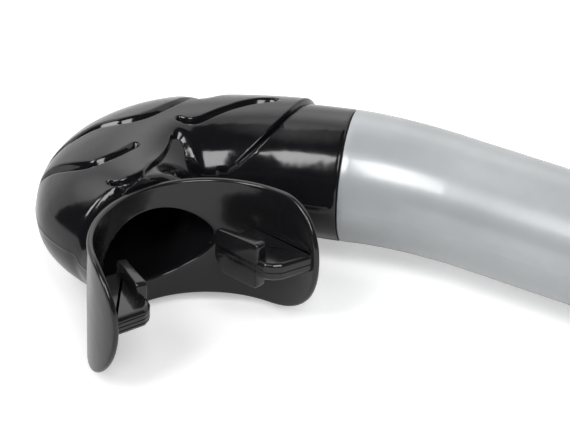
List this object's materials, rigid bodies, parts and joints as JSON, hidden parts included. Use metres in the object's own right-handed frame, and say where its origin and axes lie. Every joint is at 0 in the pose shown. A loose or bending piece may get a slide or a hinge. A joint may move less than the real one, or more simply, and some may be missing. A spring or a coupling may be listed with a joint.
{
  "type": "snorkel",
  "caption": "J-shaped snorkel: a bent tube with a swivelling relief-moulded elbow, a mouth flange with bite tabs, a bright tip and a sliding strap keeper with a hinged gate.",
  "frame": {"origin": "on the axis of the straight barrel, at the middle of the strap keeper", "axes": "+X up the straight barrel to its open end, +Z square to the plane in which the tube and the elbow bend, -Y to the side of the mouth"},
  "size_m": [0.3597, 0.0944, 0.033],
  "materials": {
    "tube_pvc": "semi-gloss silver-grey",
    "signal_tip": "bright signal orange",
    "elbow_rubber": "glossy black",
    "flange_rubber": "satin black",
    "keeper_plastic": "fine matt black",
    "pin_steel": "plain"
  },
  "bodies": {
    "tube": {"barrel_tube": "tube_pvc", "tip_band": "signal_tip"},
    "mouthpiece": {"elbow_body": "elbow_rubber", "mouth_flange": "flange_rubber", "bite_tab_right": "flange_rubber", "bite_tab_left": "flange_rubber"},
    "slider": {"keeper_sleeve": "keeper_plastic"},
    "keeper": {"keeper_ring": "keeper_plastic", "clip_pin": "pin_steel"},
    "gate": {"clip_gate": "keeper_plastic"}
  },
  "joints": [
    {"name": "mouthpiece_swivel", "type": "hinge", "parent": "tube", "child": "mouthpiece", "pos_m": [-0.12321, -0.00377, 0], "axis": [0.9429, 0.333, 0], "continuous": true},
    {"name": "keeper_slide", "type": "slide", "parent": "tube", "child": "slider", "axis": [1, 0, 0], "range_m": [-0.07, 0.135]},
    {"name": "keeper_turn", "type": "hinge", "parent": "slider", "child": "keeper", "pos_m": [0, 0, 0], "axis": [1, 0, 0], "continuous": true},
    {"name": "gate_hinge", "type": "hinge", "parent": "keeper", "child": "gate", "pos_m": [-0.0148, -0.0258, 0], "axis": [0, 0, -1], "range_deg": [0, 100]}
  ]
}
